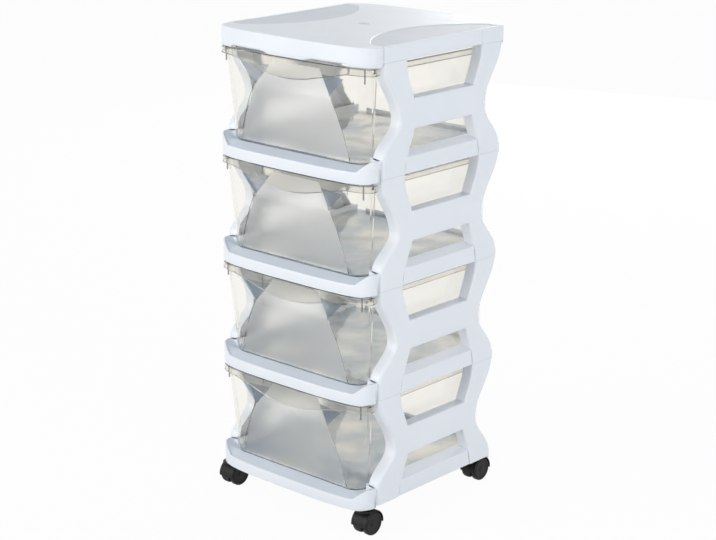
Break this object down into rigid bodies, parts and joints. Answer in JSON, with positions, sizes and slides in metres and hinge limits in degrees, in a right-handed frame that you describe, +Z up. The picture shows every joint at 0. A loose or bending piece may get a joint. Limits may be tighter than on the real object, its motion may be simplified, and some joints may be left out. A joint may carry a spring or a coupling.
{
  "type": "drawer tower",
  "caption": "Stacked plastic drawer tower on twin-wheel swivel casters, with translucent bow-front drawers sliding on trays between waisted, open side frames.",
  "frame": {"origin": "on the floor under the middle of the tower", "axes": "+Z up, -Y to the front where the drawers open, +X to the right side frames"},
  "size_m": [0.338, 0.37, 0.795],
  "materials": {
    "frame_plastic": "smooth satin, pale blue-white",
    "drawer_plastic": "translucent, with a frosted front field and clear corners",
    "caster_plastic": "black, lightly textured",
    "steel": "plain bright steel"
  },
  "bodies": {
    "frame": {"top_panel": "frame_plastic", "shelf_3": "frame_plastic", "shelf_2": "frame_plastic", "shelf_1": "frame_plastic", "base_shelf": "frame_plastic", "side_frame_left_1": "frame_plastic", "side_frame_left_2": "frame_plastic", "side_frame_left_3": "frame_plastic", "side_frame_left_4": "frame_plastic", "side_frame_right_1": "frame_plastic", "side_frame_right_2": "frame_plastic", "side_frame_right_3": "frame_plastic", "side_frame_right_4": "frame_plastic", "front_left_stem": "steel", "front_right_stem": "steel", "rear_left_stem": "steel", "rear_right_stem": "steel"},
    "drawer_1_body": {"drawer_1": "drawer_plastic"},
    "drawer_2_body": {"drawer_2": "drawer_plastic"},
    "drawer_3_body": {"drawer_3": "drawer_plastic"},
    "drawer_4_body": {"drawer_4": "drawer_plastic"},
    "front_left_swivel": {"front_left_hood": "caster_plastic", "front_left_axle": "steel"},
    "front_left_inner_wheel_body": {"front_left_inner_wheel": "caster_plastic"},
    "front_left_outer_wheel_body": {"front_left_outer_wheel": "caster_plastic"},
    "front_right_swivel": {"front_right_hood": "caster_plastic", "front_right_axle": "steel"},
    "front_right_inner_wheel_body": {"front_right_inner_wheel": "caster_plastic"},
    "front_right_outer_wheel_body": {"front_right_outer_wheel": "caster_plastic"},
    "rear_left_swivel": {"rear_left_hood": "caster_plastic", "rear_left_axle": "steel"},
    "rear_left_inner_wheel_body": {"rear_left_inner_wheel": "caster_plastic"},
    "rear_left_outer_wheel_body": {"rear_left_outer_wheel": "caster_plastic"},
    "rear_right_swivel": {"rear_right_hood": "caster_plastic", "rear_right_axle": "steel"},
    "rear_right_inner_wheel_body": {"rear_right_inner_wheel": "caster_plastic"},
    "rear_right_outer_wheel_body": {"rear_right_outer_wheel": "caster_plastic"}
  },
  "joints": [
    {"name": "drawer_1_slide", "type": "slide", "parent": "frame", "child": "drawer_1_body", "axis": [0, -1, 0], "range_m": [0, 0.25]},
    {"name": "drawer_2_slide", "type": "slide", "parent": "frame", "child": "drawer_2_body", "axis": [0, -1, 0], "range_m": [0, 0.25]},
    {"name": "drawer_3_slide", "type": "slide", "parent": "frame", "child": "drawer_3_body", "axis": [0, -1, 0], "range_m": [0, 0.25]},
    {"name": "drawer_4_slide", "type": "slide", "parent": "frame", "child": "drawer_4_body", "axis": [0, -1, 0], "range_m": [0, 0.25]},
    {"name": "front_left_swivel_turn", "type": "hinge", "parent": "frame", "child": "front_left_swivel", "pos_m": [-0.151, -0.16, 0.03], "axis": [0, 0, 1], "continuous": true},
    {"name": "front_left_inner_wheel_spin", "type": "hinge", "parent": "front_left_swivel", "child": "front_left_inner_wheel_body", "pos_m": [-0.1405, -0.152, 0.02], "axis": [1, 0, 0], "continuous": true},
    {"name": "front_left_outer_wheel_spin", "type": "hinge", "parent": "front_left_swivel", "child": "front_left_outer_wheel_body", "pos_m": [-0.1615, -0.152, 0.02], "axis": [1, 0, 0], "continuous": true},
    {"name": "front_right_swivel_turn", "type": "hinge", "parent": "frame", "child": "front_right_swivel", "pos_m": [0.151, -0.16, 0.03], "axis": [0, 0, 1], "continuous": true},
    {"name": "front_right_inner_wheel_spin", "type": "hinge", "parent": "front_right_swivel", "child": "front_right_inner_wheel_body", "pos_m": [0.1405, -0.152, 0.02], "axis": [1, 0, 0], "continuous": true},
    {"name": "front_right_outer_wheel_spin", "type": "hinge", "parent": "front_right_swivel", "child": "front_right_outer_wheel_body", "pos_m": [0.1615, -0.152, 0.02], "axis": [1, 0, 0], "continuous": true},
    {"name": "rear_left_swivel_turn", "type": "hinge", "parent": "frame", "child": "rear_left_swivel", "pos_m": [-0.139, 0.139, 0.03], "axis": [0, 0, 1], "continuous": true},
    {"name": "rear_left_inner_wheel_spin", "type": "hinge", "parent": "rear_left_swivel", "child": "rear_left_inner_wheel_body", "pos_m": [-0.1285, 0.147, 0.02], "axis": [1, 0, 0], "continuous": true},
    {"name": "rear_left_outer_wheel_spin", "type": "hinge", "parent": "rear_left_swivel", "child": "rear_left_outer_wheel_body", "pos_m": [-0.1495, 0.147, 0.02], "axis": [1, 0, 0], "continuous": true},
    {"name": "rear_right_swivel_turn", "type": "hinge", "parent": "frame", "child": "rear_right_swivel", "pos_m": [0.139, 0.139, 0.03], "axis": [0, 0, 1], "continuous": true},
    {"name": "rear_right_inner_wheel_spin", "type": "hinge", "parent": "rear_right_swivel", "child": "rear_right_inner_wheel_body", "pos_m": [0.1285, 0.147, 0.02], "axis": [1, 0, 0], "continuous": true},
    {"name": "rear_right_outer_wheel_spin", "type": "hinge", "parent": "rear_right_swivel", "child": "rear_right_outer_wheel_body", "pos_m": [0.1495, 0.147, 0.02], "axis": [1, 0, 0], "continuous": true}
  ]
}
